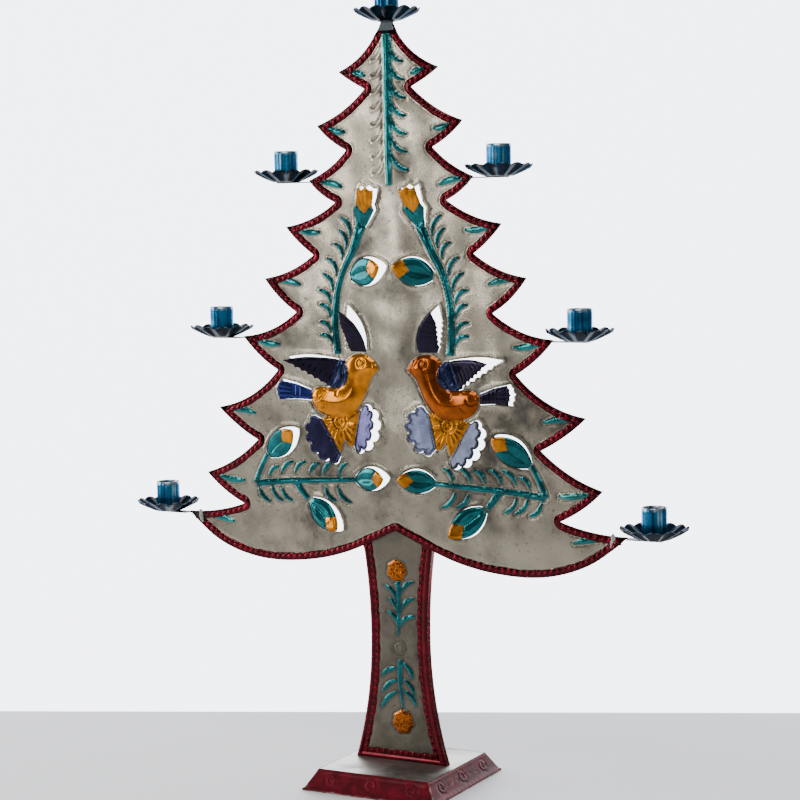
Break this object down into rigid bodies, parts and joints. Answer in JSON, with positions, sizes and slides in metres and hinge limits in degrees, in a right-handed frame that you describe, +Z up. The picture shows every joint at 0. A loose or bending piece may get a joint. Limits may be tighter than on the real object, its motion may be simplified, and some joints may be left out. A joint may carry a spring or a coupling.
{
  "type": "tree of life candelabra",
  "caption": "Free-standing tin tree of life on a box trunk and low folded base, with chased birds and buds and candle cups on fluted drip pans at its branch tips.",
  "frame": {"origin": "centre of the underside of the base, on the surface the candelabra stands on", "axes": "+Z up, front of the tree towards -Y, +X to the viewer's right from the front"},
  "size_m": [0.603, 0.146, 0.7736],
  "materials": {
    "tree_tin": "aged tinplate, chased and part lacquered red, teal, amber and violet",
    "trunk_tin": "aged tinplate with red lacquered edges",
    "plain_tin": "dull unpainted tinplate",
    "base_red": "worn translucent red lacquer on tinplate",
    "bracket_blue": "blue-black lacquer",
    "arm_tin": "dark aged tin strip",
    "pan_blue_black": "blue-black lacquer, worn on the flutes",
    "cup_blue": "translucent bright blue lacquer",
    "bare_solder": "bright bare solder"
  },
  "bodies": {
    "root": {"tree_panel": "tree_tin", "trunk_front": "trunk_tin", "trunk_back": "plain_tin", "base_shell": "base_red", "base_bottom": "plain_tin", "apex_bracket": "bracket_blue", "arm_upper_left": "arm_tin", "arm_upper_right": "arm_tin", "arm_middle_left": "arm_tin", "arm_middle_right": "arm_tin", "arm_lower_left": "arm_tin", "arm_lower_right": "arm_tin", "pan_top": "pan_blue_black", "pan_upper_left": "pan_blue_black", "pan_upper_right": "pan_blue_black", "pan_middle_left": "pan_blue_black", "pan_middle_right": "pan_blue_black", "pan_lower_left": "pan_blue_black", "pan_lower_right": "pan_blue_black", "cup_top": "cup_blue", "cup_upper_left": "cup_blue", "cup_upper_right": "cup_blue", "cup_middle_left": "cup_blue", "cup_middle_right": "cup_blue", "cup_lower_left": "cup_blue", "cup_lower_right": "cup_blue", "patch_left": "bare_solder", "patch_right": "bare_solder"}
  },
  "joints": []
}
